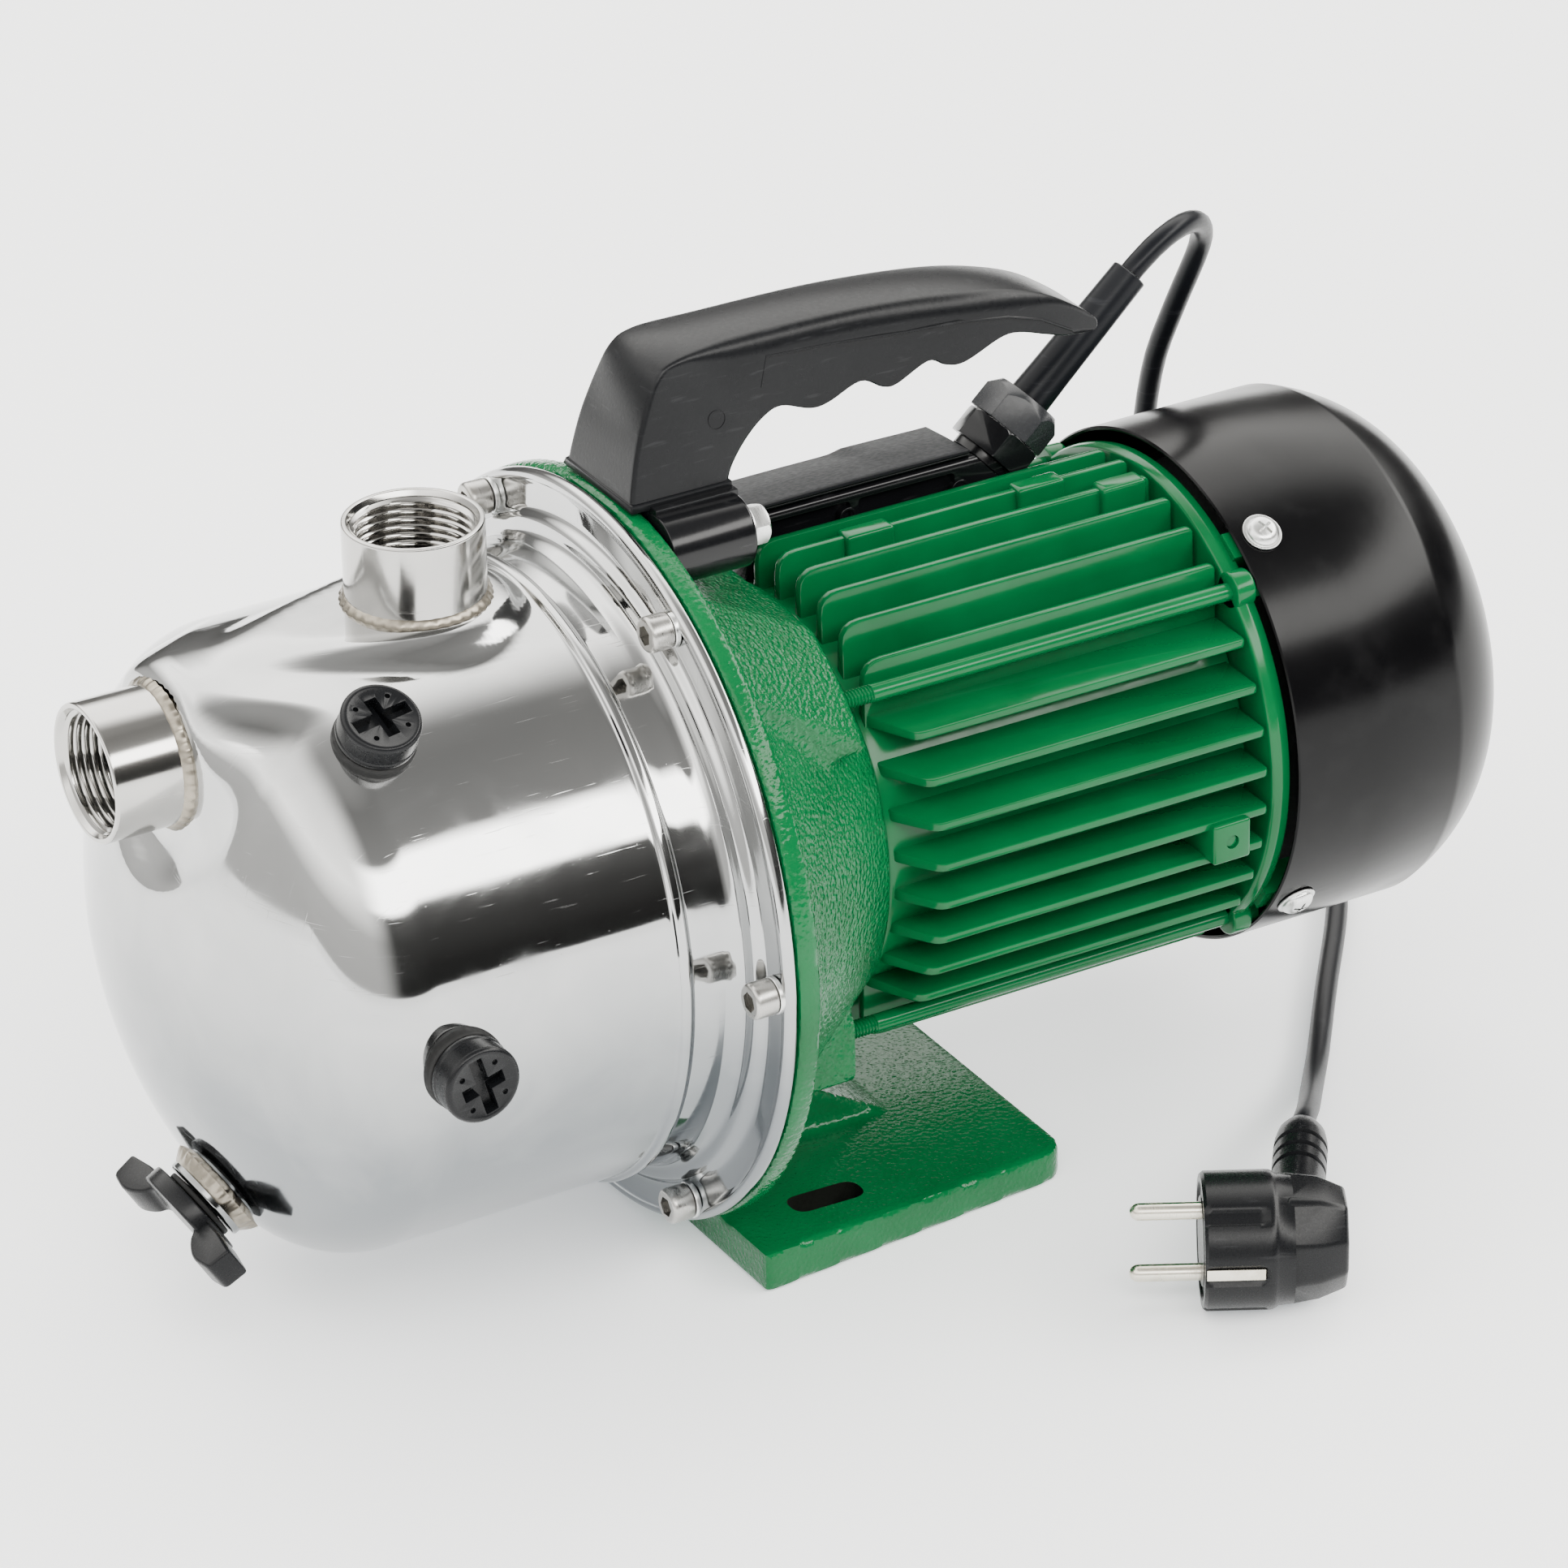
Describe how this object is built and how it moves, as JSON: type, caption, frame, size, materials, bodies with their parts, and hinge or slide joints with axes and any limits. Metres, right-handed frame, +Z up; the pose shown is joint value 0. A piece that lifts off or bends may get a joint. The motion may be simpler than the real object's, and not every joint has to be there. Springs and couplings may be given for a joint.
{
  "type": "shallow well jet pump",
  "caption": "Self-priming jet pump: domed steel body with two screwed ports, cast bracket on a slotted foot, finned motor with fan cover, carrying handle and mains lead with plug.",
  "frame": {"origin": "middle of the foot plate's width on its underside, 56 mm behind the joint face of pump body and bracket, straight below the motor shaft", "axes": "+Z up, +X along the motor shaft from the pump body towards the fan, +Y across to the side of the terminal box"},
  "size_m": [0.419, 0.2717, 0.2486],
  "materials": {
    "stainless": "bright polished stainless sheet",
    "green_casting": "semi-gloss green enamel over cast aluminium, coarse on cast faces",
    "green_rods": "green enamel over steel",
    "black_plastic": "matte black moulded plastic",
    "black_steel": "satin black painted sheet steel",
    "zinc_steel": "bright zinc plated steel",
    "steel": "plain machined steel",
    "brass": "machined brass",
    "nickel": "nickel plated brass",
    "copper": "varnished copper winding",
    "rubber": "black rubber",
    "ceramic": "fired ceramic",
    "grey_plastic": "glass-filled grey plastic"
  },
  "bodies": {
    "pump": {"back_plate": "stainless", "bend_sleeve": "rubber", "body_gasket": "rubber", "bracket": "green_casting", "cable_gland": "black_plastic", "capacitor": "grey_plastic", "cover_screw_1": "zinc_steel", "cover_screw_2": "zinc_steel", "cover_screw_3": "zinc_steel", "cover_screw_4": "zinc_steel", "diffuser": "grey_plastic", "discharge_port": "stainless", "drain_socket": "stainless", "ejector": "grey_plastic", "ejector_nozzle": "brass", "fan_cover": "black_steel", "flange_screw_1": "stainless", "flange_screw_2": "stainless", "flange_screw_3": "stainless", "flange_screw_4": "stainless", "flange_screw_5": "stainless", "flange_screw_6": "stainless", "front_bearing": "steel", "gland_nut": "black_plastic", "handle": "black_plastic", "handle_bolt_1": "zinc_steel", "handle_bolt_2": "zinc_steel", "mains_cord": "rubber", "mains_plug": "black_plastic", "motor_housing": "green_casting", "plug_pin_1": "nickel", "plug_pin_2": "nickel", "pump_body": "stainless", "rear_bearing": "steel", "rear_end_shield": "green_casting", "seal_seat": "ceramic", "stator_core": "steel", "suction_port": "stainless", "terminal_block": "ceramic", "terminal_box": "black_plastic", "terminal_lid": "black_plastic", "tie_rod_1": "green_rods", "tie_rod_2": "green_rods", "tie_rod_3": "green_rods", "tie_rod_4": "green_rods", "winding_front": "copper", "winding_rear": "copper"},
    "rotor_assembly": {"shaft": "steel", "rotor": "steel", "impeller": "brass", "impeller_nut": "brass", "seal_ring": "rubber", "cooling_fan": "black_plastic"},
    "fill_seal": {"fill_plug_seal": "rubber"},
    "fill_plug": {"fill_plug": "black_plastic"},
    "side_seal": {"side_plug_seal": "rubber"},
    "side_plug": {"side_plug": "black_plastic"},
    "drain_seal": {"drain_plug_seal": "rubber"},
    "drain_plug": {"drain_plug": "black_plastic"}
  },
  "joints": [
    {"name": "rotor_spin", "type": "hinge", "parent": "pump", "child": "rotor_assembly", "pos_m": [0, 0, 0.106], "axis": [1, 0, 0], "continuous": true},
    {"name": "fill_lift", "type": "slide", "parent": "pump", "child": "fill_seal", "axis": [0, -0.5, 0.866], "range_m": [0, 0.0107]},
    {"name": "fill_plug_turn", "type": "hinge", "parent": "fill_seal", "child": "fill_plug", "pos_m": [-0.1444, -0.0443, 0.18273], "axis": [0, -0.5, 0.866], "range_deg": [0, 2880.5]},
    {"name": "side_lift", "type": "slide", "parent": "pump", "child": "side_seal", "axis": [0, -1, 0], "range_m": [0, 0.0107]},
    {"name": "side_plug_turn", "type": "hinge", "parent": "side_seal", "child": "side_plug", "pos_m": [-0.1446, -0.0886, 0.106], "axis": [0, -1, 0], "range_deg": [0, 2880.5]},
    {"name": "drain_lift", "type": "slide", "parent": "pump", "child": "drain_seal", "axis": [-0.8526, 0, -0.5225], "range_m": [0, 0.00802]},
    {"name": "drain_plug_turn", "type": "hinge", "parent": "drain_seal", "child": "drain_plug", "pos_m": [-0.1758, 0, 0.0365], "axis": [-0.8526, 0, -0.5225], "range_deg": [0, 2160.5]}
  ],
  "couplings": [
    {"joint": "fill_plug_turn", "follows": "fill_lift", "rad_per_m": 4699.5},
    {"joint": "side_plug_turn", "follows": "side_lift", "rad_per_m": 4699.5},
    {"joint": "drain_plug_turn", "follows": "drain_lift", "rad_per_m": 4699.5}
  ]
}
